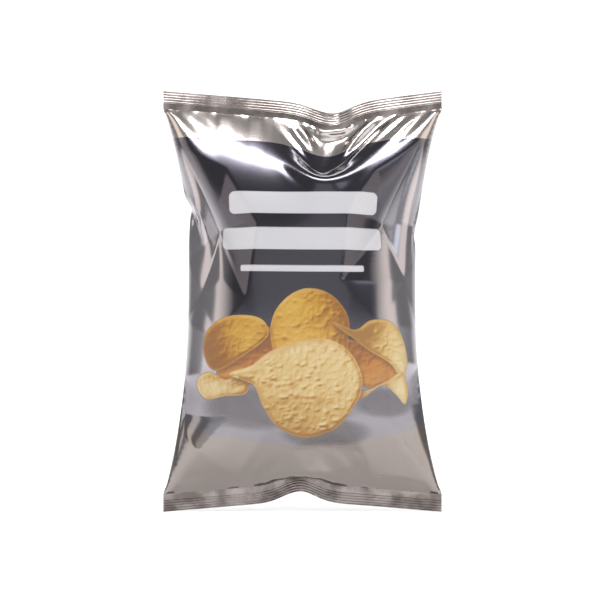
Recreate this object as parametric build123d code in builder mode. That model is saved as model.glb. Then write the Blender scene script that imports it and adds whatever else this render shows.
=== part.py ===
from build123d import *

import os
from math import cos, exp, pi, radians, sin, sqrt

"""A sealed pillow bag of potato crisps, as a form, fill and seal machine makes it.

One web of metallised film is wrapped into a tube and joined down the back by a fin seal that is
folded flat. The tube is closed by a crimped seal at each end, and the gas inside swells it into a
pillow, which draws the middle of each end seal in and leaves the four corners standing out. Loose
crisps lie in the lower part, with headspace over them.

Millimetres. +Z runs from the bottom seal to the top seal, the printed front faces -Y, and the
origin is under the middle of the bag, level with its two bottom corners.
"""

# ---------------------------------------------------------------- the film
bag_height = 287.0  # between the cut edges, at the corners
flat_width = 190.0  # the tube pressed flat, which is the length of each end seal
waist_width = 157.0  # the filled bag between its flared ends
flare_length = 88.0  # how far each flared end reaches from the cut edge
flare_power = 1.25  # 1 is a straight flare, and more is a softer one
bag_depth = 72.0  # front to back at the fullest, with the fin
film_wall = 0.4

# ---------------------------------------------------------------- the seals
seal_height = 12.0
seal_clearance = 0.5  # between a panel's end and the seal band that flexes on it
ply_gap = 0.1  # between the two plies of a seal, and the two panels along the side folds
fin_width = 12.0
fin_gap = 0.3  # between the folded fin and the back panel it lies on
fin_end_gap = 4.0  # the fin stops this far short of each end seal
edge_points = 25  # that shape each end seal's curved edges

# How far the middle of each end seal is drawn in: a broad slope from the corners and a sharp pinch.
top_draw_broad, top_draw_sharp = 8.5, 6.5
top_pinch_x, top_pinch_width = 20.0, 17.0
bottom_draw_broad, bottom_draw_sharp = 7.0, 7.0
bottom_pinch_x, bottom_pinch_width = -2.0, 15.0
pinch_round = 0.12  # of the slope where it turns at the pinch

# ---------------------------------------------------------------- the crisps
crisp_thickness = 1.4
crisp_curvature = 0.0105  # saddle rise = curvature * radius^2 * cos(2 * angle), in 1/mm
crisp_gap = 0.3  # between two crisps where they rest on each other
crisp_max_radius = 27.0
crisp_min_radius = 5.0
crisp_waviness = 0.07  # share of the radius that a crisp's uneven rim gives away
column_side_room = 8.75  # from the waist's side folds to the outer columns
column_gap = 0.6  # between two columns
crisps_in_column = 14
first_crisp_rise = 30.0  # over the bottom seal, above the narrow end of the bag
crisp_turn = radians(67.0)  # each crisp is turned this far from the one below it
rim_points = 24
rim_checks = 96  # round a crisp, when its room is measured
film_room = 0.8  # between a crisp's rim and the film, front to back
fill_travel = 32.0  # how far the crisps slide when the bag is turned over

column_pitch = (waist_width - 2 * column_side_room) / 3
first_crisp_z = seal_height + first_crisp_rise

FRONT, BACK = -1, 1


def half_width(height):
    """Half the width of the bag at a height: the waist, flaring to the flat width at both ends."""
    from_end = min(height, bag_height - height)
    flare = max(0.0, 1 - from_end / flare_length) ** flare_power
    return (waist_width + (flat_width - waist_width) * flare) / 2


def drawn_in(x, broad, sharp, pinch_x, pinch_width):
    """How far an end seal is drawn towards the middle of the bag at x. It is 0 at the corners."""
    corner = flat_width / 2
    reach = corner - pinch_x if x > pinch_x else corner + pinch_x
    share = abs(x - pinch_x) / reach
    slope = 1 - (sqrt(share**2 + pinch_round**2) - pinch_round) / (
        sqrt(1 + pinch_round**2) - pinch_round
    )
    return broad * slope + sharp * exp(-(((x - pinch_x) / pinch_width) ** 2))


def top_draw(x):
    return drawn_in(x, top_draw_broad, top_draw_sharp, top_pinch_x, top_pinch_width)


def bottom_draw(x):
    return drawn_in(x, bottom_draw_broad, bottom_draw_sharp, bottom_pinch_x, bottom_pinch_width)


def low_end(x):
    """Height of the bottom seal's inner edge at x, where the pouch begins."""
    return seal_height + bottom_draw(x)


def high_end(x):
    """Height of the top seal's inner edge at x, where the pouch ends."""
    return bag_height - seal_height - top_draw(x)


def swell(across, along, side):
    """How far the space inside the bag reaches to its front or back.

    across is -1 to 1 between the side folds, and along is 0 to 1 between the end seals. The back
    is shallower by the folded fin, so that the whole bag is as deep before as behind.
    """
    fullest = bag_depth / 2 - ply_gap / 2 - film_wall
    if side is BACK:
        fullest -= fin_gap + 2 * film_wall + ply_gap
    return fullest * (1 - abs(across) ** 2.5) * (1 - abs(2 * along - 1) ** 2.6)


def film_point(x, along, side, lift):
    """A point of a film sheet, which is lifted this far along Y from the space inside the bag."""
    z = low_end(x) + along * (high_end(x) - low_end(x))
    across = x / half_width(along * bag_height)
    return Vector(x, side * (swell(across, along, side) + lift), z)


def steps(low, high, count):
    return [low + (high - low) * i / (count - 1) for i in range(count)]


def film_sheet(side, lift, x_ends, end_gap, columns):
    """One sheet of film, which starts this far inside and grows outwards by the film's wall.

    x_ends gives the x of its two edges at a height, and end_gap its distance from the end seals.
    """
    margin = end_gap / (bag_height - 2 * seal_height)
    rows = []
    for along in steps(margin, 1 - margin, 17):
        low_x, high_x = x_ends(half_width(along * bag_height))
        rows.append([film_point(x, along, side, lift) for x in steps(low_x, high_x, columns)])
    with BuildPart() as sheet:
        inner = Face.make_surface_from_array_of_points(rows, tol=0.02, min_deg=3)
        extrude(inner, amount=film_wall, dir=(0, side, 0))
    return sheet


# ---------------------------------------------------------------- front panel
film_front = film_sheet(
    FRONT, ply_gap / 2, lambda half: (-half, half), seal_clearance, columns=25
)

# ---------------------------------------------------------------- back panel, in two halves
# The web's two edges meet behind the fin, so the back is a left half and a right half.
film_back_left = film_sheet(
    BACK, ply_gap / 2, lambda half: (-half, -ply_gap / 2), seal_clearance, columns=13
)
film_back_right = film_sheet(
    BACK, ply_gap / 2, lambda half: (ply_gap / 2, half), seal_clearance, columns=13
)

# ---------------------------------------------------------------- fin seal down the back
# Two plies, sealed inner face to inner face and folded flat against the right half of the back.
fin_lift = ply_gap / 2 + film_wall + fin_gap
fin_inner_ply = film_sheet(
    BACK, fin_lift, lambda half: (0.0, fin_width), fin_end_gap, columns=4
)
fin_outer_ply = film_sheet(
    BACK, fin_lift + film_wall + ply_gap, lambda half: (0.0, fin_width), fin_end_gap, columns=4
)


# ---------------------------------------------------------------- end seals
def seal_ply(side, inner_edge, outer_edge):
    """One ply of an end seal: a flat band between the pouch's end and the cut edge."""
    corner = flat_width / 2
    xs = steps(-corner, corner, edge_points)
    # Plane.XZ faces -Y, so the front ply is drawn at +ply_gap / 2 and grows forwards.
    offset = -side * ply_gap / 2
    with BuildPart() as ply:
        with BuildSketch(Plane.XZ.offset(offset)):
            with BuildLine():
                inner = Spline([(x, inner_edge(x)) for x in xs])
                outer = Spline([(x, outer_edge(x)) for x in xs])
                Line(inner @ 0, outer @ 0)
                Line(inner @ 1, outer @ 1)
            make_face()
        extrude(amount=-side * film_wall)
    return ply


def top_cut_edge(x):
    return bag_height - top_draw(x)


top_seal_front = seal_ply(FRONT, high_end, top_cut_edge)
top_seal_back = seal_ply(BACK, high_end, top_cut_edge)
bottom_seal_front = seal_ply(FRONT, low_end, bottom_draw)
bottom_seal_back = seal_ply(BACK, low_end, bottom_draw)


# ---------------------------------------------------------------- crisps
def room_at(x, z):
    """Half the depth that a crisp may take at a point inside the bag."""
    along = (z - low_end(x)) / (high_end(x) - low_end(x))
    across = x / half_width(along * bag_height)
    if not 0 < along < 1 or abs(across) >= 1:
        return 0.0
    return max(0.0, swell(across, along, BACK) - film_room)


def circle_of(count):
    return [2 * pi * i / count for i in range(count)]


def rim_point(angle, half_y, waviness=0.0, number=0):
    """A point of a crisp's rim, from its centre: an ellipse, uneven between its two axes."""
    half_x = (column_pitch - column_gap) / 2
    uneven = (1 + sin(3 * angle + 2.1 * number)) / 2 * sin(2 * angle) ** 2
    share = 1 - waviness * uneven
    return share * half_x * cos(angle), share * half_y * sin(angle)


def saddle(x, y, turn):
    return crisp_curvature * ((x * x - y * y) * cos(2 * turn) + 2 * x * y * sin(2 * turn))


def fits_the_bag(centre_x, z, half_y, turn):
    """Whether a crisp's rim has room in the bag, both at rest and slid up."""
    for angle in circle_of(rim_checks):
        x, y = rim_point(angle, half_y)
        level = z + saddle(x, y, turn)
        for height in (level, level + crisp_thickness, level + crisp_thickness + fill_travel):
            if abs(y) > room_at(centre_x + x, height):
                return False
    return True


def rest_height(below, half_y, turn):
    """How far above the crisp below a crisp rests, where the two saddles first meet."""
    needed = 0.0
    for angle in circle_of(rim_checks):
        x, y = rim_point(angle, min(below["half_y"], half_y))
        needed = max(needed, saddle(x, y, below["turn"]) - saddle(x, y, turn))
    return needed + crisp_thickness + crisp_gap


def place_crisp(centre_x, below, turn):
    """Height and half-depth of the deepest crisp that has room where it comes to rest."""
    half_y = crisp_max_radius
    while half_y > crisp_min_radius:
        z = below["z"] + rest_height(below, half_y, turn) if below else first_crisp_z
        if fits_the_bag(centre_x, z, half_y, turn):
            return z, half_y
        half_y -= 0.5
    raise ValueError("a crisp has no room in the bag")


def make_crisp(centre_x, z, half_y, turn, number):
    """A saddle-shaped slice of constant height, cut by its uneven rim.

    The saddle is exact as a Bezier sheet of three by three control points. Over a square of
    half-side r, the controls of x squared are r2, -r2 and r2, and those of x are -r, 0 and r.
    """
    reach = crisp_max_radius + 2
    linear = (-reach, 0.0, reach)
    squared = (reach**2, -(reach**2), reach**2)
    rows = []
    for y, y_squared in zip(linear, squared):
        row = []
        for x, x_squared in zip(linear, squared):
            twist = (x_squared - y_squared) * cos(2 * turn) + 2 * x * y * sin(2 * turn)
            row.append(Vector(centre_x + x, y, z + crisp_curvature * twist))
        rows.append(row)
    rim = []
    for angle in circle_of(rim_points):
        x, y = rim_point(angle, half_y, crisp_waviness, number)
        rim.append((centre_x + x, y))
    with BuildPart() as crisp:
        extrude(Face.make_bezier_surface(rows), amount=crisp_thickness, dir=(0, 0, 1))
        with BuildSketch(Plane.XY.offset(z - reach)):
            with BuildLine():
                Spline(rim, periodic=True)
            make_face()
        extrude(amount=2 * reach, mode=Mode.INTERSECT)
    return crisp


def column_of_crisps(centre_x, first_number):
    """A loose stack, each crisp resting on the rim of the one below it."""
    crisps = []
    below = None
    for number in range(first_number, first_number + crisps_in_column):
        turn = number * crisp_turn
        z, half_y = place_crisp(centre_x, below, turn)
        crisps.append(make_crisp(centre_x, z, half_y, turn, number))
        below = {"z": z, "half_y": half_y, "turn": turn}
    return crisps


column_places = {"left": -column_pitch, "middle": 0.0, "right": column_pitch}

named_parts = {
    "film_front": film_front,
    "film_back_left": film_back_left,
    "film_back_right": film_back_right,
    "fin_inner_ply": fin_inner_ply,
    "fin_outer_ply": fin_outer_ply,
    "top_seal_front": top_seal_front,
    "top_seal_back": top_seal_back,
    "bottom_seal_front": bottom_seal_front,
    "bottom_seal_back": bottom_seal_back,
}
for place, (column, centre_x) in enumerate(column_places.items()):
    for i, crisp in enumerate(column_of_crisps(centre_x, place * crisps_in_column)):
        named_parts[f"crisp_{column}_{i + 1:02d}"] = crisp

os.makedirs("parts", exist_ok=True)
for name, piece in named_parts.items():
    piece.part.label = name
    export_step(piece.part, f"parts/{name}.step")
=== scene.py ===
import bpy
import numpy as np
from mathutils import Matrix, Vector


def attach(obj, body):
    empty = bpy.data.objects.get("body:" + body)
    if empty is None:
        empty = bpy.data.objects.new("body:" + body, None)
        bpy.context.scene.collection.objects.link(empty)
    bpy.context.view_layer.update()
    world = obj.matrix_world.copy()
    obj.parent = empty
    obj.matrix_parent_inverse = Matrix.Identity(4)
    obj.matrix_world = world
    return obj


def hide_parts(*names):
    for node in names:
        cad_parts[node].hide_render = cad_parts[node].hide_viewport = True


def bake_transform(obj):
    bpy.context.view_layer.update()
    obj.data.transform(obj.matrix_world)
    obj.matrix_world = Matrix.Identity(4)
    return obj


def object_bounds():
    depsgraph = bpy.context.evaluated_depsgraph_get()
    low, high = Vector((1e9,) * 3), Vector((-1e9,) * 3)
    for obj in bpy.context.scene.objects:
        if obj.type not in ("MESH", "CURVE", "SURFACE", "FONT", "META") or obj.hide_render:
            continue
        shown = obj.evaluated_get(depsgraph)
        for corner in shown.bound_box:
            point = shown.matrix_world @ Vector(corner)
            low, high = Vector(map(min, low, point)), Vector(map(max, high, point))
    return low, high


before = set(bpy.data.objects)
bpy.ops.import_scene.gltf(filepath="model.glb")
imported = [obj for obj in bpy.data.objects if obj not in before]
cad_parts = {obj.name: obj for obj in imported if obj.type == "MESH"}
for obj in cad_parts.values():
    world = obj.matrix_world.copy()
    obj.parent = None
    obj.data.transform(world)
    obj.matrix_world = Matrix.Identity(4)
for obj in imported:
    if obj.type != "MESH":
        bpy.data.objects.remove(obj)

cad_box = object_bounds()

# ------------------------------------------------------------------ the web of film, blown up
# The bag is one web of metallised polypropylene, wrapped into a tube 380 mm round and sealed flat
# at both ends. The gas sealed in with the crisps swells it. Film bends but hardly stretches, so
# its middle narrows, its ends are drawn in, and what is left over goes into creases.
low, high = cad_box
mm = 0.001  # metres
flat_width = (high[0] - low[0]) / mm
bag_height = (high[2] - low[2]) / mm
seal_height = 12.0
half_flat = flat_width / 2
film_height = bag_height - 2 * seal_height
gas_volume = 1.90e6  # cubic millimetres
top_pinch_x, bottom_pinch_x = 20.0, -2.0  # where each end seal is drawn in the most
ply_clear = 0.2  # mm that each ply of film keeps from the bag's middle plane


def drawn_in(x, broad, sharp, pinch_x, pinch_width):
    """How far an end seal is drawn in at x, in mm: a slope from the corners to the pinch, rounded
    there over about an eighth of it, and a bell of its own width at the pinch."""
    rounding = 0.12
    reach = np.where(x > pinch_x, half_flat - pinch_x, half_flat + pinch_x)
    share = np.abs(x - pinch_x) / reach
    slope = np.sqrt(share**2 + rounding**2) - rounding
    slope = 1 - slope / (np.sqrt(1 + rounding**2) - rounding)
    return broad * slope + sharp * np.exp(-(((x - pinch_x) / pinch_width) ** 2))


def seal_line(across, beyond, top):
    """The middle surface of an end seal. across runs -1 to 1 along it, by its own length, and
    beyond is the distance in mm from its inner edge. It sways in two long waves that fade at the
    corners, and buckles in short ones round its pinch, the more the nearer its cut edge."""
    x = np.linspace(-half_flat, half_flat, 2001)
    if top:
        pinch, lean = top_pinch_x, 1.0
        z = bag_height - seal_height - drawn_in(x, 8.5, 6.5, pinch, 17.0)
    else:
        pinch, lean = bottom_pinch_x, -1.0
        z = seal_height + drawn_in(x, 7.0, 7.0, pinch, 15.0)
    run = np.concatenate([[0], np.cumsum(np.hypot(np.diff(x), np.diff(z)))])
    along = (across + 1) / 2 * run[-1]
    px = np.interp(along, run, x)
    pz = np.interp(px, x, z)
    sway = 1.6 * np.sin(px / 31 + lean) + 0.7 * np.sin(px / 13 + 2 * lean)
    ends = 1 - np.abs(px / half_flat) ** 6
    buckle = 1.5 * np.exp(-(((px - pinch) / 13) ** 2)) * np.sin((px - pinch) / 3.1)
    py = (sway + buckle * beyond / seal_height) * ends * (0.35 + 0.65 * beyond / seal_height)
    return np.stack(np.broadcast_arrays(px, py, pz + (beyond if top else -beyond)), -1)


def end_ring(columns, top):
    """The closed row of film along an end seal's inner edge: the front from left to right, and
    then the back from right to left, each a ply's clearance from the middle."""
    half = columns // 2
    front = seal_line(np.linspace(-1, 1, half + 1), 0.0, top)
    ring = np.concatenate([front, front[-2:0:-1]])
    ring[1:half, 1] -= ply_clear
    ring[half + 1 :, 1] += ply_clear
    return ring


def pull(a, b, rest, share):
    """Moves two arrays of points, in place, along the lines between them, a share of the way to
    their rest distance."""
    line = b - a
    length = np.sqrt(np.einsum("...i,...i->...", line, line)) + 1e-9
    step = (0.5 * share * (length - rest) / length)[..., None] * line
    a += step
    b -= step


def pull_round(grid, gap, rest, share):
    """pull between each point and the one gap columns on, in turns that share no point."""
    for turn in (0, gap):
        rolled = np.roll(grid, turn, 1) if turn else grid
        for first in range(gap):
            pull(rolled[:, first :: 2 * gap], rolled[:, first + gap :: 2 * gap], rest, share)
        grid = np.roll(rolled, -turn, 1) if turn else rolled
    return grid


def pull_up(grid, gap, rest, share, slant=0):
    """pull between each row and the one gap rows on, slant columns over."""
    for first in range(2 * gap):
        lower, upper = grid[first : -gap : 2 * gap], grid[first + gap :: 2 * gap]
        count = min(len(lower), len(upper))
        turned = np.roll(upper[:count], -slant, 1) if slant else upper[:count]
        pull(lower[:count], turned, rest, share)
        if slant:
            upper[:count] = np.roll(turned, slant, 1)
    return grid


def swell(grid, rounds, bending, dents):
    """Blows up a tube of film until its gas fills it. Each round moves every point on by most of
    its last step, pushes it out along its normal while the volume is short, pulls the dents in,
    and then restores the film's own lengths: round, up and aslant, and over two squares at a time
    (and four, on a fine grid) as far as it resists bending. The front stays in front of the
    back."""
    carry, push, shear = 0.9, 0.5, 0.8
    rows, columns = grid.shape[0] - 1, grid.shape[1]
    half = columns // 2
    wide, tall = 2 * web_width / columns, film_height / rows
    bottom, top = end_ring(columns, False), end_ring(columns, True)
    before = grid.copy()
    presses = []
    for up, over, place, share, reach in dents:
        row, column = round(up * rows), round((over + 1) / 2 * half) % columns
        away = np.abs(np.arange(columns) - column)
        away = np.minimum(away, columns - away)[None, :] * wide
        rise = (np.arange(rows + 1) - row)[:, None] * tall
        bell = share * np.exp(-(away**2 + rise**2) / reach**2)[..., None]
        presses.append((row, column, bell, np.array(place)))
    for _ in range(rounds):
        grid, before = grid + carry * (grid - before), grid
        around = np.roll(grid, -1, 1) - np.roll(grid, 1, 1)
        normal = np.zeros_like(grid)
        normal[1:-1] = np.cross(around[1:-1], grid[2:] - grid[:-2]) / 4
        short = 1 - np.sum(grid * normal) / 3 / gas_volume
        grid = grid + np.clip(short, -0.3, 1.0) * normal / tall * push
        for row, column, bell, place in presses:
            grid += bell * (place - grid[row, column])
        grid = pull_round(grid, 1, wide, 1.0)
        grid = pull_up(grid, 1, tall, 1.0)
        for slant in (1, -1):
            grid = pull_up(grid, 1, np.hypot(wide, tall), shear, slant)
        grid = pull_round(grid, 2, 2 * wide, bending)
        grid = pull_up(grid, 2, 2 * tall, bending)
        if columns > 100:
            grid = pull_round(grid, 4, 4 * wide, bending)
            grid = pull_up(grid, 4, 4 * tall, bending)
        grid[:, 1:half, 1] = np.minimum(grid[:, 1:half, 1], -ply_clear)
        grid[:, half + 1 :, 1] = np.maximum(grid[:, half + 1 :, 1], ply_clear)
        grid[0], grid[-1] = bottom, top
    return grid


def doubled(grid):
    """The same film with twice the rows and columns. Each new point is the cubic midpoint of its
    four neighbours in line: 9/16 of the near two less 1/16 of the far two."""
    between = (9 * (grid + np.roll(grid, -1, 1)) - np.roll(grid, 1, 1) - np.roll(grid, -2, 1)) / 16
    wider = np.empty((grid.shape[0], 2 * grid.shape[1], 3))
    wider[:, 0::2], wider[:, 1::2] = grid, between
    ends = np.concatenate([2 * wider[:1] - wider[1:2], wider, 2 * wider[-1:] - wider[-2:-1]])
    taller = np.empty((2 * grid.shape[0] - 1, wider.shape[1], 3))
    taller[0::2] = wider
    taller[1::2] = (9 * (ends[1:-2] + ends[2:-1]) - ends[:-3] - ends[3:]) / 16
    return taller


# The tube starts nearly flat, as a grid of squares 8 to 9 mm across. They are halved after each
# blowing up, of so many rounds and with such a share of stiffness, and once more at the end.
web_width = flat_width + 1.0  # the seals' inner edges are this long, along their curves
columns, rows = 44, 33
start_bulge = 6.0
level = np.linspace(0, 1, rows + 1)[:, None, None]
film = end_ring(columns, False) * (1 - level) + end_ring(columns, True) * level
side = np.sign(film[0, :, 1]) * (np.arange(columns) % (columns // 2) != 0)
flat_share = (film[..., 0] / half_flat) ** 2
film[..., 1] += start_bulge * side * np.sin(np.pi * level[..., 0]) * (1 - flat_share)
# Dents: how far up the tube from 0 to 1, how far across the front from -1 to 1, where the film
# there is drawn to in mm, by what share of the way each round, and how far round it, in mm. The
# first three make the fold below the top pinch, and the others nip the two sides.
dents = [
    (0.955, 0.21, (19.5, -1.5, 251.0), 0.5, 5.0),
    (0.925, 0.18, (17.5, -6.0, 243.0), 0.5, 6.0),
    (0.885, 0.15, (14.5, -14.0, 232.5), 0.5, 7.0),
    (0.72, -1.0, (-76.5, 0.0, 203.0), 0.5, 6.0),
    (0.68, 1.0, (76.5, 0.0, 191.0), 0.5, 6.0),
]
for rounds, bending in ((1200, 0.3), (500, 0.2), (400, 0.12)):
    film = doubled(swell(film, rounds, bending, dents))
fine = doubled(film)


def outward(grid):
    """Unit normals of a tube of film, from the two lines through each point's neighbours."""
    around = np.roll(grid, -1, 1) - np.roll(grid, 1, 1)
    upward = np.concatenate([grid[1:2] - grid[:1], grid[2:] - grid[:-2], grid[-1:] - grid[-2:-1]])
    normal = np.cross(around, upward)
    return normal / (np.linalg.norm(normal, axis=-1, keepdims=True) + 1e-12)


# Where film is pinched it stands in flat facets between sharp creases. A facet's corner is its
# place in web millimetres, across from the front's middle and up from the bag's foot, and how far
# it is pressed in. Three corners make a facet.
back_share = 0.35  # the back's facets are pressed in by this share of the front's
softening = 14  # rounds of averaging each point with its four neighbours, to round the creases
web_s = (np.arange(fine.shape[1]) / fine.shape[1] * 2 - 0.5) * web_width
web_t = seal_height + np.arange(fine.shape[0]) / (fine.shape[0] - 1) * film_height
facet_s, facet_t = np.meshgrid(web_s, web_t)
mirrored_s = np.abs(np.where(facet_s > web_width / 2, web_width - facet_s, facet_s))
pressed = np.zeros(facet_s.shape)


def press_facets(corners, facets):
    """Presses facets in: inside each one the depth is the flat blend of its three corners'. The
    back has the same facets, mirrored and shallower."""
    for across, share in ((facet_s, 1.0), (web_width - facet_s, back_share)):
        for facet in facets:
            (s0, t0, d0), (s1, t1, d1), (s2, t2, d2) = (corners[k] for k in facet)
            area = (s1 - s0) * (t2 - t0) - (s2 - s0) * (t1 - t0)
            b = ((across - s0) * (t2 - t0) - (s2 - s0) * (facet_t - t0)) / area
            c = ((s1 - s0) * (facet_t - t0) - (across - s0) * (t1 - t0)) / area
            inside = (b >= 0) & (c >= 0) & (b + c <= 1)
            pressed[inside] = share * (d0 + (d1 - d0) * b + (d2 - d0) * c)[inside]


# The upper left pinch, and the teardrop that hangs below it.
press_facets(
    {
        "pinch": (-60, 190, 12.0), "corner": (-84, 248, 0), "notch": (-88, 206, 2.0),
        "high": (-52, 232, 0), "inner": (-30, 196, 0), "drop in": (-38, 146, 0),
        "drop": (-56, 158, 2.5), "drop out": (-74, 150, 4.0), "fold": (-93, 170, 0),
        "low": (-60, 122, 0), "low out": (-90, 130, 0), "fold high": (-93, 230, 0),
    },
    [
        ("pinch", "corner", "notch"), ("pinch", "high", "corner"), ("pinch", "inner", "high"),
        ("pinch", "drop in", "inner"), ("pinch", "drop", "drop in"), ("pinch", "drop out", "drop"),
        ("pinch", "fold", "drop out"), ("pinch", "notch", "fold"), ("drop", "low", "drop in"),
        ("drop", "drop out", "low"), ("drop out", "low out", "low"),
        ("drop out", "fold", "low out"), ("corner", "fold high", "notch"),
    ],
)
# The upper right pinch.
press_facets(
    {
        "pinch": (59, 197, 13.0), "corner": (82, 252, 0), "notch": (88, 194, 2.0),
        "high": (50, 232, 0), "inner": (32, 204, 0), "left": (26, 158, 0),
        "mid": (52, 157, 1.0), "right": (76, 158, 3.0), "fold": (93, 170, 0),
        "low": (52, 130, 0), "low out": (90, 126, 0), "fold high": (93, 226, 0),
    },
    [
        ("pinch", "notch", "corner"), ("pinch", "corner", "high"), ("pinch", "high", "inner"),
        ("pinch", "inner", "left"), ("pinch", "left", "mid"), ("pinch", "mid", "right"),
        ("pinch", "right", "notch"), ("right", "fold", "notch"), ("left", "low", "mid"),
        ("mid", "low", "right"), ("right", "low", "low out"), ("right", "low out", "fold"),
        ("corner", "notch", "fold high"),
    ],
)
# The lower left pinch, with the ridge from it to the corner.
press_facets(
    {
        "pinch": (-52, 66, 8.0), "top": (-50, 96, 0), "out high": (-88, 92, 0),
        "out": (-90, 66, 3.0), "corner": (-88, 24, 0), "foot": (-44, 24, 0),
        "in": (-22, 62, 0), "ridge": (-70, 44, -3.5),
    },
    [
        ("pinch", "top", "out high"), ("pinch", "out high", "out"), ("pinch", "out", "ridge"),
        ("pinch", "ridge", "foot"), ("pinch", "foot", "in"), ("pinch", "in", "top"),
        ("ridge", "out", "corner"), ("ridge", "corner", "foot"),
    ],
)
# The lower right pinch, with the valley from it to the corner.
press_facets(
    {
        "pinch": (58, 78, 8.0), "top": (56, 104, 0), "out high": (88, 100, 0),
        "out": (90, 74, 1.5), "corner": (89, 22, 0), "foot": (48, 24, -1.5),
        "in": (30, 66, 0), "valley": (71, 52, 6.0),
    },
    [
        ("pinch", "out high", "top"), ("pinch", "out", "out high"), ("pinch", "valley", "out"),
        ("pinch", "foot", "valley"), ("pinch", "in", "foot"), ("pinch", "top", "in"),
        ("valley", "corner", "out"), ("valley", "foot", "corner"),
    ],
)
# The dimple above the bottom seal's pinch.
press_facets(
    {
        "top": (16, 44, 4.5), "left": (3, 28, 0), "right": (28, 28, 0), "under": (15, 25, -0.5),
        "high": (17, 60, 0), "far left": (-8, 44, 0), "far right": (42, 42, 0),
    },
    [
        ("top", "left", "under"), ("top", "under", "right"), ("top", "high", "far left"),
        ("top", "far left", "left"), ("top", "far right", "high"), ("top", "right", "far right"),
    ],
)
for _ in range(softening):
    padded = np.pad(pressed, 1, mode="edge")
    around = padded[:-2, 1:-1] + padded[2:, 1:-1] + padded[1:-1, :-2] + padded[1:-1, 2:]
    pressed = (around + 2 * pressed) / 6

# Film that leaves a seal is gathered in small wrinkles, which run out of it and fade. They are
# waves of four pitches in mm, each as high as a share of its pitch, with seeded starts.
gather = np.random.default_rng(3)
gather_share = 0.018
for edge, fade in ((web_t[0], 9.0), (web_t[-1], 11.0)):
    wrinkle = np.zeros(facet_s.shape)
    for pitch in (7.0, 11.0, 17.0, 26.0):
        turn = gather.uniform(0, 2 * np.pi) + 0.8 * np.sin(facet_s / 41 + gather.uniform(0, 6))
        wrinkle += gather_share * pitch * np.cos(2 * np.pi * facet_s / pitch + turn)
    off = np.abs(facet_t - edge)
    to_fold = 1 - (mirrored_s / (web_width / 2)) ** 8
    pressed += wrinkle * np.exp(-off / fade) * (1 - np.exp(-off / 2.5)) * to_fold
fine = fine - outward(fine) * pressed[..., None]


def grid_mesh(name, points, normals, web=None):
    """A mesh of quads through a grid of points in mm, rows first, smooth shaded with the given
    normals. web is a grid of two flat coordinates in mm, kept as a UV map called web."""
    r, c = points.shape[:2]
    mesh = bpy.data.meshes.new(name)
    index = np.arange(r * c).reshape(r, c)
    quads = np.stack([index[:-1, :-1], index[:-1, 1:], index[1:, 1:], index[1:, :-1]], -1)
    quads = quads.reshape(-1, 4)
    mesh.vertices.add(r * c)
    mesh.vertices.foreach_set("co", (points * mm).astype(np.float32).ravel())
    mesh.loops.add(quads.size)
    mesh.loops.foreach_set("vertex_index", quads.ravel().astype(np.int32))
    mesh.polygons.add(len(quads))
    mesh.polygons.foreach_set("loop_start", np.arange(0, quads.size, 4, dtype=np.int32))
    mesh.polygons.foreach_set("loop_total", np.full(len(quads), 4, dtype=np.int32))
    mesh.update(calc_edges=True)
    mesh.validate()
    mesh.shade_smooth()
    if web is not None:
        corners = web.reshape(-1, 2)[quads.ravel()]
        mesh.uv_layers.new(name="web").data.foreach_set("uv", corners.astype(np.float32).ravel())
    mesh.normals_split_custom_set_from_vertices(normals.reshape(-1, 3))
    piece = bpy.data.objects.new(name, mesh)
    bpy.context.scene.collection.objects.link(piece)
    return piece


def film_piece(name, tube, first_column, last_column, first_row, last_row):
    """Part of the tube of film as a mesh, between two columns and two rows of it, with web
    coordinates in mm: across from the middle of the front or the back, and up from the bag's
    foot."""
    normals = outward(tube)
    columns = np.arange(first_column, last_column + 1)
    rows = np.arange(first_row, last_row + 1)
    pick = np.ix_(rows, columns % tube.shape[1])
    s = (columns / tube.shape[1] * 2 - 0.5) * web_width
    s = np.where(s > web_width / 2, web_width - s, s)
    t = seal_height + rows / (tube.shape[0] - 1) * film_height
    web = np.stack(np.meshgrid(s, t), -1)
    return grid_mesh(name, tube[pick], normals[pick], web)


def add(material, kind, inputs=None, **settings):
    """Adds a node to a material: its settings, and its inputs by name or number, each a value or
    another node's output."""
    node = material.node_tree.nodes.new(kind)
    for key, value in settings.items():
        setattr(node, key, value)
    for key, value in (inputs or {}).items():
        if isinstance(value, bpy.types.NodeSocket):
            material.node_tree.links.new(value, node.inputs[key])
        else:
            node.inputs[key].default_value = value
    return node


# ------------------------------------------------------------------ the printed picture
# The front carries a picture of a heap of crisps, printed by gravure in opaque inks before the
# film is metallised, and plain bars for titles. Each printed crisp is an outline in web
# millimetres, shaded as the curved, blistered and browned slice that it is a picture of. Ink is
# red, green, blue and cover, over the whole front, and the plate is the part of it with crisps.
front_columns = fine.shape[1] // 2
ink_s = np.linspace(-1, 1, front_columns + 1) * web_width / 2
ink_t = seal_height + np.linspace(0, 1, fine.shape[0]) * film_height
ink = np.zeros((len(ink_t), len(ink_s), 4))
picked = np.ix_((ink_t > 40) & (ink_t < 162), (np.abs(ink_s) < 84))
plate_s, plate_t = np.meshgrid(ink_s[picked[1][0]], ink_t[picked[0][:, 0]])
plate = np.zeros((*plate_s.shape, 4))
chance = np.random.default_rng(7)  # places the blisters, the same each run


def colours(*hexes):
    """sRGB hex colours as arrays of red, green and blue from 0 to 1, still in sRGB."""
    return [np.array([int(h[i : i + 2], 16) for i in (1, 3, 5)]) / 255 for h in hexes]


def light_of(srgb):
    """sRGB values as linear light, by the standard's curve and its straight foot."""
    return np.where(srgb <= 0.04045, srgb / 12.92, ((srgb + 0.055) / 1.055) ** 2.4)


def linear(hex_colour):
    """An sRGB hex colour as linear red, green, blue and a full alpha."""
    return (*light_of(colours(hex_colour)[0]), 1.0)


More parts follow.
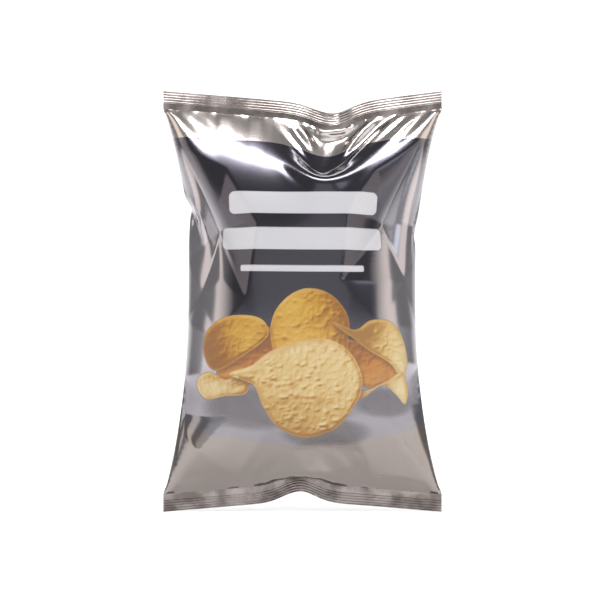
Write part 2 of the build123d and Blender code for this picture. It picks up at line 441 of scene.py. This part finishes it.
def smooth(value, low, high):
    """0 below low, 1 above high, and an even curve between."""
    share = np.clip((value - low) / (high - low), 0, 1)
    return share * share * (3 - 2 * share)


def outline(corners):
    """A closed smooth curve through its corners, ten points to a side, by Catmull and Rom."""
    p = np.array(corners, float)
    before, after, beyond = np.roll(p, 1, 0), np.roll(p, -1, 0), np.roll(p, -2, 0)
    u = (np.arange(10) / 10)[None, :, None]
    p, before, after, beyond = (q[:, None, :] for q in (p, before, after, beyond))
    curve = 2 * p + (after - before) * u
    curve = curve + (2 * before - 5 * p + 4 * after - beyond) * u**2
    curve = curve + (3 * p - before - 3 * after + beyond) * u**3
    return curve.reshape(-1, 2) / 2


def depth_inside(corners):
    """Distance in mm inside the outline at each point of the plate, and negative outside it."""
    curve = outline(corners)
    nearest = np.full(plate_s.shape, 1e9)
    inside = np.zeros(plate_s.shape, bool)
    for (s0, t0), (s1, t1) in zip(curve, np.roll(curve, -1, 0)):
        ds, dt = s1 - s0, t1 - t0
        share = ((plate_s - s0) * ds + (plate_t - t0) * dt) / (ds * ds + dt * dt + 1e-9)
        share = np.clip(share, 0, 1)
        off = np.hypot(plate_s - s0 - share * ds, plate_t - t0 - share * dt)
        nearest = np.minimum(nearest, off)
        if t0 != t1:
            crossing = (t0 > plate_t) != (t1 > plate_t)
            inside ^= crossing & (plate_s < s0 + (plate_t - t0) / dt * ds)
    return np.where(inside, nearest, -nearest)


def cloud(size, seed):
    """Soft noise from -1 to 1 over the plate: random values a size apart, joined smoothly."""
    values = np.random.default_rng(seed).uniform(-1, 1, (80, 80))
    a, b = (plate_s + 100) / size, plate_t / size
    i, j = np.floor(a).astype(int), np.floor(b).astype(int)
    u, v = smooth(a - i, 0, 1), smooth(b - j, 0, 1)
    i, j = i % 79, j % 79
    low = values[i, j] * (1 - u) + values[i + 1, j] * u
    return low * (1 - v) + (values[i, j + 1] * (1 - u) + values[i + 1, j + 1] * u) * v


def lay_ink(cover, colour):
    """Lays ink over what is on the plate, where cover is above 0."""
    plate[..., :3] = plate[..., :3] * (1 - cover[..., None]) + colour * cover[..., None]
    plate[..., 3] = np.maximum(plate[..., 3], cover)


def lay_shadow(place, reach, strength):
    """A soft brown shadow under the heap: a bell round its place."""
    away = ((plate_s - place[0]) / reach[0]) ** 2 + ((plate_t - place[1]) / reach[1]) ** 2
    cover = strength * smooth(-away, -1.0, -0.35)
    lay_ink(cover * (1 - plate[..., 3]), colours("#80685C")[0])


def depth_shifted(depth, lift):
    """The depth inside an outline that is moved down by a shadow's lift and right by half of it."""
    rows = round(lift / (plate_t[1, 0] - plate_t[0, 0]))
    cols = round(lift / 2 / (plate_s[0, 1] - plate_s[0, 0]))
    return np.roll(depth, (-rows, cols), (0, 1))


def lay_crisp(corners, shades, bend, blisters, rim=1.0, lift=0.0):
    """A picture of a crisp. Its height bends along one direction, given as (strength, across, up,
    middle s, middle t), swells in soft noise of three sizes, and rises in blisters, given as
    (count, height). It is lit from the upper left, from shades[0] to shades[2], and its rim is
    paler at the very edge and browner just inside it. lift mm above the heap it throws a shadow."""
    depth = depth_inside(corners)
    if lift:
        shadow = 0.55 * smooth(depth_shifted(depth, lift), -2.5, 1.5)
        lay_ink(shadow * (plate[..., 3] > 0.5), colours("#7A4A1C")[0])
    power, across, up, mid_s, mid_t = bend
    along = (plate_s - mid_s) * across + (plate_t - mid_t) * up
    height = power * along**2 / 20 + 0.5 * cloud(9.0, len(corners))
    height = height + 0.30 * (1 - np.abs(cloud(4.2, 5))) ** 2
    height = height + 0.14 * cloud(2.0, 8)
    count, tall = blisters
    low, high = np.min(corners, 0), np.max(corners, 0)
    for _ in range(count):
        place = chance.uniform(low, high)
        reach = chance.uniform(0.8, 2.1)
        stretch = chance.uniform(0.45, 1.0)
        away = ((plate_s - place[0]) / reach) ** 2 + ((plate_t - place[1]) / reach / stretch) ** 2
        height = height + tall * reach * 0.35 * np.exp(-away)
    height = height + 0.9 * smooth(depth, 0.0, 2.5)
    slope_t, slope_s = np.gradient(height, plate_t[:, 0], plate_s[0])
    length = np.sqrt(1 + slope_s**2 + slope_t**2)
    light = (0.42 * slope_s - 0.58 * slope_t + 0.70) / length
    dark, middle, bright = colours(*shades)
    shade = smooth(light, 0.25, 1.0)[..., None]
    in_shade = dark + (middle - dark) * 2 * shade
    colour = np.where(shade < 0.5, in_shade, middle + (bright - middle) * (2 * shade - 1))
    glint = smooth(light, 0.90, 1.0) * smooth(cloud(2.4, 11), 0.0, 0.8)
    colour = colour + (colours("#FFF6DC")[0] - colour) * 0.55 * glint[..., None]
    brown = smooth(-depth, -4.5, -0.8) * (0.55 + 0.45 * cloud(7.0, 3)) * 0.45 * rim
    colour = colour + (colours("#C07A26")[0] - colour) * np.clip(brown, 0, 1)[..., None]
    edge = smooth(-depth, -1.1, -0.3) * 0.35 * rim
    colour = colour + (colours("#F0D08A")[0] - colour) * edge[..., None]
    lay_ink(smooth(depth, -0.35, 0.35), colour)


golden = ("#9C5F08", "#D2991E", "#EFC45C")
pale = ("#AE7A2E", "#DBB05E", "#F4DEA8")
underside = ("#8A4A12", "#C27A28", "#DC9A40")
lay_shadow(place=(-36, 72), reach=(38, 17), strength=0.50)
lay_shadow(place=(16, 56), reach=(34, 12), strength=0.55)
lay_shadow(place=(58, 76), reach=(26, 12), strength=0.50)
# The undersides of two crisps, left and right, that show between the ones in front of them.
lay_crisp(
    [(-26, 128), (-50, 110), (-58, 94), (-40, 92), (-22, 100), (-14, 118)],
    underside, bend=(0.2, 0.3, 1.0, -38, 100), blisters=(6, 0.4), rim=0.3,
)
lay_crisp(
    [(28, 120), (34, 100), (42, 88), (58, 90), (66, 96), (52, 110)],
    underside, bend=(0.2, -0.3, 1.0, 45, 102), blisters=(6, 0.4), rim=0.3,
)
# The round crisp at the back, and the one to its left.
lay_crisp(
    [
        (4, 153), (19, 149), (30, 136), (31, 122), (24, 104), (-12, 104), (-21, 120), (-19, 136),
        (-9, 148),
    ],
    golden, bend=(-0.35, 1.0, 0.2, 8, 128), blisters=(60, 0.8),
)
lay_crisp(
    [
        (-45, 135), (-30, 134), (-23, 128), (-24, 120), (-40, 108), (-59, 98), (-68, 108),
        (-67, 122), (-58, 131),
    ],
    golden, bend=(0.5, 1.0, 0.35, -40, 116), blisters=(14, 0.6), lift=2.0,
)
# The folded crisp on the right.
lay_crisp(
    [
        (20, 131), (31, 122), (45, 112), (60, 103), (71, 92), (74, 106), (69, 122), (60, 131),
        (46, 132), (35, 126),
    ],
    pale, bend=(0.35, 1.0, -0.3, 56, 114), blisters=(30, 0.5), lift=2.5,
)
# Two small curls, left and right.
lay_crisp(
    [
        (-63, 97), (-73, 92), (-74, 84), (-67, 78), (-55, 80), (-38, 83), (-36, 92), (-44, 96),
        (-52, 92),
    ],
    pale, bend=(0.9, 0.3, 1.0, -60, 92), blisters=(10, 0.5),
)
lay_crisp(
    [
        (20, 70), (40, 80), (55, 88), (66, 82), (74, 75), (77, 86), (70, 97), (58, 91), (44, 86),
        (30, 84),
    ],
    pale, bend=(0.9, -0.2, 1.0, 60, 92), blisters=(12, 0.5),
)
# The large crisp in front.
lay_crisp(
    [
        (11, 120), (27, 115), (37, 103), (40, 88), (33, 72), (20, 58), (1, 53), (-16, 60),
        (-26, 74), (-33, 89), (-49, 96), (-34, 102), (-18, 113),
    ],
    pale, bend=(-0.12, 0.3, 1.0, 2, 82), blisters=(170, 1.0), lift=2.5,
)


def lay_bar(low_s, high_s, low_t, high_t):
    """A plain title bar, its corners rounded by a quarter of its height."""
    half_wide, half_tall = (high_s - low_s) / 2, (high_t - low_t) / 2
    corner = half_tall * 0.5
    past = np.maximum(np.abs(full_s - (low_s + high_s) / 2) - half_wide + corner, 0)
    over = np.maximum(np.abs(full_t - (low_t + high_t) / 2) - corner, 0)
    cover = smooth(corner - np.hypot(past, over), -0.35, 0.35)[..., None]
    ink[..., :3] = ink[..., :3] * (1 - cover) + colours("#E6E5EA")[0] * cover
    ink[..., 3:] = np.maximum(ink[..., 3:], cover)


ink[picked] = plate
full_s, full_t = np.meshgrid(ink_s, ink_t)
lay_bar(-50, 52, 202, 217)
lay_bar(-57, 57, 178, 193)
lay_bar(-42, 42, 163.5, 168)
ink_strength = 0.43  # inks on film give back less light than the same inks on white paper
ink[..., :3] = light_of(ink[..., :3]) * ink_strength


def keep_ink(piece, first_row, last_row):
    """Keeps the picture on a piece of the front as a colour attribute, with its cover as alpha."""
    layer = piece.data.color_attributes.new("picture", "FLOAT_COLOR", "POINT")
    layer.data.foreach_set("color", ink[first_row : last_row + 1].astype(np.float32).ravel())


def ramp(material, value, low, high, start=0.0, end=1.0, kind="SMOOTHSTEP"):
    """start where the value is low, end where it is high, and an even change between."""
    inputs = {0: value, 1: low, 2: high, 3: start, 4: end}
    return add(material, "ShaderNodeMapRange", inputs, interpolation_type=kind).outputs[0]


def sums(material, operation, a, b=0.0, c=0.0):
    """One step of arithmetic on up to three numbers."""
    return add(material, "ShaderNodeMath", {0: a, 1: b, 2: c}, operation=operation).outputs[0]


def mixed(material, share, a, b):
    """A colour that is a where the share is 0 and b where it is 1."""
    return add(material, "ShaderNodeMix", {0: share, 6: a, 7: b}, data_type="RGBA").outputs[2]


def metallised_film(name, pictured):
    """Metallised film: a mirror of vapour-coated aluminium between clear films, matt enough to
    smear what it reflects. Ink over it tints the mirror: a dark panel between bare silver ends.
    Down its sides the panel is painted paler, as a painted reflection of the bright room in the
    side facets, and it is paler towards its foot. The bare silver is painted darker towards the
    foot, as painted shade. The panel's foot is an arc, highest at the sides. The picture's opaque
    inks hide the mirror."""
    panel_top, foot_height, foot_curve, print_edge = 254.0, 47.5, 0.0017, 0.3
    matt, inked_matt = 0.2, 0.35
    film = bpy.data.materials.new(name)
    film.use_nodes = True
    film.node_tree.nodes.clear()
    web = add(film, "ShaderNodeUVMap", uv_map="web")
    split = add(film, "ShaderNodeSeparateXYZ", {0: web.outputs[0]})
    s, t = split.outputs[0], split.outputs[1]
    from_middle = sums(film, "ABSOLUTE", s)
    foot = sums(film, "MULTIPLY_ADD", sums(film, "MULTIPLY", s, s), foot_curve, foot_height)
    over_foot = ramp(film, sums(film, "SUBTRACT", t, foot), -print_edge, print_edge)
    under_top = ramp(film, t, panel_top + print_edge, panel_top - print_edge)
    inked = sums(film, "MULTIPLY", over_foot, under_top)
    # Painted reflection: from these widths out the panel is painted paler down its sides, standing
    # in for the bright room mirrored in the side facets, and less so low down.
    side_reflection_start = ramp(film, t, 188.0, 250.0, 55.0, 88.0, "LINEAR")
    painted_side_reflection = ramp(film, sums(film, "SUBTRACT", from_middle, side_reflection_start), -10.0, 6.0)
    painted_side_reflection = sums(film, "MULTIPLY", painted_side_reflection, ramp(film, t, 70.0, 115.0, 0.30, 0.75))
    from_low = ramp(film, t, 125.0, 60.0, 0.0, 0.42)
    paler = sums(film, "MAXIMUM", painted_side_reflection, from_low)
    tint = mixed(film, paler, linear("#45434A"), linear("#B0ACB0"))
    # Painted shade: the bare silver is painted darker towards the foot.
    silver_with_painted_shade = mixed(film, ramp(film, t, 110.0, 50.0), linear("#B3ABA7"), linear("#857E7A"))
    colour = mixed(film, inked, silver_with_painted_shade, tint)
    surface = {"Base Color": colour, "Metallic": 1.0, "Roughness": matt}
    if pictured:
        picture = add(film, "ShaderNodeAttribute", attribute_name="picture")
        cover = picture.outputs["Alpha"]
        surface["Base Color"] = mixed(film, cover, colour, picture.outputs["Color"])
        surface["Metallic"] = ramp(film, cover, 0.0, 1.0, 1.0, 0.15, "LINEAR")
        surface["Roughness"] = ramp(film, cover, 0.0, 1.0, matt, inked_matt, "LINEAR")
    surface.update({"Coat Weight": 0.35, "Coat Roughness": 0.06})
    shader = add(film, "ShaderNodeBsdfPrincipled", surface)
    add(film, "ShaderNodeOutputMaterial", {0: shader.outputs[0]})
    return film


printed = metallised_film("printed metallised film", True)
plain = metallised_film("plain metallised film", False)

# The front is two meshes, split half way up, on the fine grid that carries the picture. The plain
# back takes every other point of it.
split_row = (fine.shape[0] - 1) // 2
half_columns = film.shape[1] // 2
upper = film_piece("film_front_upper", fine, 0, front_columns, split_row, fine.shape[0] - 1)
lower = film_piece("film_front_lower", fine, 0, front_columns, 0, split_row)
keep_ink(upper, split_row, fine.shape[0] - 1)
keep_ink(lower, 0, split_row)
back = film_piece(
    "film_back", fine[::2, ::2], half_columns, 2 * half_columns, 0, film.shape[0] - 1
)
for piece, finish in ((upper, printed), (lower, printed), (back, plain)):
    piece.data.materials.append(finish)
    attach(piece, "pouch")
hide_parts("film_front")
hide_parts("film_front")
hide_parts("film_back_left", "film_back_right")

# ------------------------------------------------------------------ fin seal
# The web's two side edges are welded inside to inside down the middle of the back, as a fin of
# two plies, and the forming tube folds the fin over to lie flat against the back.
fin_width, fin_gap, fin_thick = 12.0, 0.35, 0.35
fin_lift = 0.5  # mm that its free edge stands off the back
crimp_depth, crimp_pitch = 0.09, 2.0
fin_columns = round(fin_width / (2 * web_width / fine.shape[1]))
back_middle = 3 * fine.shape[1] // 4
fin_back = slice(back_middle, back_middle - fin_columns - 1, -1)  # the film that it lies on
folded, away = fine[:, fin_back], outward(fine)[:, fin_back]
share = np.linspace(0, 1, fin_columns + 1)[None, :, None]
fin_t = web_t[:, None, None]
ends = np.clip(np.minimum(fin_t - web_t[0], web_t[-1] - fin_t) / 12, 0, 1)
lifted = fin_lift * share**3 * (0.6 + 0.4 * np.sin(fin_t / 17 + 1)) * ends
crimp = crimp_depth * np.sin(2 * np.pi * share * fin_width / crimp_pitch) * (share > 0.15)
under = folded + away * (fin_gap * ends + lifted + crimp)
over = under + away * fin_thick
loop = np.concatenate([under, over[:, ::-1], under[:, :1]], 1)
normal = np.cross(np.gradient(loop, axis=1), np.gradient(loop, axis=0))
normal /= np.linalg.norm(normal, axis=-1, keepdims=True) + 1e-12
strip = np.concatenate([share[0, :, 0], share[0, ::-1, 0], share[0, :1, 0]]) * fin_width
fin = grid_mesh("back_fin_seal", loop, normal, np.stack(np.meshgrid(strip, web_t), -1))
fin.data.materials.append(plain)
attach(fin, "pouch")
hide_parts("fin_inner_ply", "fin_outer_ply")

# ------------------------------------------------------------------ end seals
# Each end of the tube is pressed flat between hot ribbed jaws, which weld the two plies and crimp
# them with ribs that run along the seal. A knife then cuts the bag off along the seal's outer edge.
rib_pitch, rib_depth, rib_start, seal_thick = 1.75, 0.13, 4.0, 0.3
seal_overlap = 0.4  # mm that the welded band runs in under the film

# Welded metallised film: the jaws' heat dulls it and mottles it in patches, and its colours are
# painted darker than bare film, as painted shade. The ribs glint.
jawed = bpy.data.materials.new("heat-sealed metallised film")
jawed.use_nodes = True
jawed.node_tree.nodes.clear()
place = add(jawed, "ShaderNodeTexCoord")
scorch = {"Vector": place.outputs["Object"], "Scale": 60.0, "Detail": 3.0}
scorch = add(jawed, "ShaderNodeTexNoise", scorch)
patch = ramp(jawed, scorch.outputs[0], 0.35, 0.65)
# Random scorch patches between two colours, both painted dark as painted shade.
scorched_and_shaded = mixed(jawed, patch, linear("#665F5C"), linear("#98908D"))
surface = {"Base Color": scorched_and_shaded, "Metallic": 1.0, "Roughness": 0.22}
shader = add(jawed, "ShaderNodeBsdfPrincipled", surface)
add(jawed, "ShaderNodeOutputMaterial", {0: shader.outputs[0]})


def seal_piece(name, top):
    """One welded end seal: its middle surface, waved by the ribs, with half its thickness to each
    side, closed along its inner and outer edges."""
    across = np.linspace(-1, 1, 381)[None, :]
    beyond = np.linspace(-seal_overlap, seal_height, 100)[:, None]
    surface = seal_line(across, beyond, top)
    ribs = rib_depth * np.sin(2 * np.pi * beyond / rib_pitch) * (beyond > rib_start)
    surface[..., 1] += ribs
    front, rear = surface.copy(), surface.copy()
    front[..., 1] -= seal_thick / 2
    rear[..., 1] += seal_thick / 2
    loop = np.concatenate([front, rear[::-1], front[:1]])
    if not top:
        loop = loop[::-1]
    normal = np.cross(np.gradient(loop, axis=1), np.gradient(loop, axis=0))
    normal /= np.linalg.norm(normal, axis=-1, keepdims=True) + 1e-12
    piece = grid_mesh(name, loop, normal)
    piece.data.materials.append(jawed)
    return piece


top_seal = seal_piece("top_seal_band", True)
bottom_seal = seal_piece("bottom_seal_band", False)
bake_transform(top_seal)
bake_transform(bottom_seal)
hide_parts("top_seal_front", "top_seal_back")
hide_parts("bottom_seal_front", "bottom_seal_back")

# ------------------------------------------------------------------ the crisps
# Thin slices of potato, fried until they curl and blister, tumbled into the bag before its top
# is sealed. They keep the shapes of the CAD parts.

# Fried potato starch: golden and slightly translucent, oily enough to shine softly, with browned
# patches a centimetre or so across and blisters 2 to 5 mm wide.
fried = bpy.data.materials.new("fried potato crisp")
fried.use_nodes = True
fried.node_tree.nodes.clear()
place = add(fried, "ShaderNodeTexCoord").outputs["Object"]
patches = {"Vector": place, "Scale": 70.0, "Detail": 4.0, "Roughness": 0.6}
patches = add(fried, "ShaderNodeTexNoise", patches)
browned = ramp(fried, patches.outputs[0], 0.52, 0.72)
flesh = mixed(fried, browned, linear("#E3BC62"), linear("#B4711F"))
blister = {"Vector": place, "Scale": 280.0, "Smoothness": 0.6}
blister = add(fried, "ShaderNodeTexVoronoi", blister, feature="SMOOTH_F1")
grain = add(fried, "ShaderNodeTexNoise", {"Vector": place, "Scale": 1400.0, "Detail": 3.0})
height = sums(fried, "MULTIPLY_ADD", grain.outputs[0], 0.15, blister.outputs[0])
raised = add(fried, "ShaderNodeBump", {"Height": height, "Strength": 0.5, "Distance": 0.0006})
shader = add(
    fried,
    "ShaderNodeBsdfPrincipled",
    {
        "Base Color": flesh,
        "Normal": raised.outputs[0],
        "Roughness": 0.42,
        "Subsurface Weight": 0.15,
        "Subsurface Radius": (0.004, 0.002, 0.0008),
    },
)
add(fried, "ShaderNodeOutputMaterial", {0: shader.outputs[0]})
for name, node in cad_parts.items():
    if name.startswith("crisp_"):
        node.data.materials.clear()
        node.data.materials.append(fried)

# ------------------------------------------------------------------ the stage
# A sheet of matt white paper hung behind the bag and run out under it, and softboxes round it.
# The mirror of the film shows them as streaks. Nothing here belongs to the bag.


def sweep(u, v):
    """A floor that curves up into a backdrop, in metres: a straight run, a quarter circle and a
    straight rise, each as long as its part of the path that v follows, and u across."""
    wide, run, radius, rise, front = 8.0, 4.0, 1.0, 4.0, -2.2
    turn = np.pi / 2 * radius
    path = v * (run + turn + rise)
    angle = np.clip((path - run) / radius, 0, np.pi / 2)
    y = np.minimum(path, run) + front + radius * np.sin(angle)
    z = radius * (1 - np.cos(angle)) + np.maximum(path - run - turn, 0)
    return np.stack([(u - 0.5) * wide, y, z], -1)


# The paper is shaded as if all of it lay flat, so that its rise is lit like its floor.
u, v = np.meshgrid(np.linspace(0, 1, 2), np.linspace(0, 1, 80))
points = sweep(u, v) / mm
floor = grid_mesh("studio_floor", points, np.zeros_like(points) + (0.0, 0.0, 1.0))
# Matt white paper: it scatters light evenly, with hardly a sheen.
paper = bpy.data.materials.new("white paper sweep")
paper.use_nodes = True
matt_white = paper.node_tree.nodes["Principled BSDF"].inputs
matt_white["Base Color"].default_value = linear("#F4F4F4")
matt_white["Roughness"].default_value = 0.9
floor.data.materials.append(paper)


def softbox(name, place, target, size, power, colour="#FFFFFF"):
    """A rectangular light of a size and at a place in metres, facing a target, of so many watts.
    It lights and is mirrored, and the camera doesn't see it."""
    light = bpy.data.lights.new(name, "AREA")
    light.shape, light.size, light.size_y, light.energy = "RECTANGLE", size[0], size[1], power
    light.color = linear(colour)[:3]
    lamp = bpy.data.objects.new(name, light)
    bpy.context.scene.collection.objects.link(lamp)
    lamp.visible_camera = False
    lamp.location = place
    lamp.rotation_euler = (Vector(target) - Vector(place)).to_track_quat("-Z", "Y").to_euler()


softbox("high_softbox", (0.1, -0.95, 1.6), (0, 0, 0.2), (1.0, 0.35), 26)
softbox("front_panel", (0, -2.7, 0.35), (0, 0, 0.15), (1.8, 1.5), 6)
softbox("left_softbox", (-1.25, -0.75, 0.45), (0, 0, 0.15), (0.8, 1.3), 4.5, "#FFF4E8")
softbox("right_softbox", (1.25, -0.75, 0.45), (0, 0, 0.15), (0.8, 1.3), 4.5, "#FFF4E8")
softbox("window_panel", (1.0, -1.5, 0.62), (0, 0, 0.19), (0.5, 0.5), 1.5, "#E8F4FF")
softbox("backdrop_light", (0, 1.0, 2.4), (0, 2.6, 0.6), (3.0, 1.0), 90)

# The room's pale walls light the bag from all round. Film mirrors a dimmer room than the one that
# lights the paper, as black cloth hung beside the bag would make it.
room_light, mirrored_light = 1.3, 0.5
world = bpy.data.worlds.new("studio")
world.use_nodes = True
background = world.node_tree.nodes["Background"]
background.inputs[0].default_value = linear("#E0E0E2")
mirrored = add(world, "ShaderNodeLightPath").outputs["Is Glossy Ray"]
strength = ramp(world, mirrored, 0.0, 1.0, room_light, mirrored_light, "LINEAR")
world.node_tree.links.new(strength, background.inputs[1])
bpy.context.scene.world = world
bpy.context.scene.view_settings.view_transform = "Standard"

camera_data = bpy.data.cameras.new("camera")
camera_data.lens, camera_data.sensor_width = 135, 36
camera = bpy.data.objects.new("camera", camera_data)
bpy.context.scene.collection.objects.link(camera)
camera.location = (-0.0017, -1.535, 0.1445)
camera.rotation_euler = (np.pi / 2, 0, 0)
bpy.context.scene.camera = camera
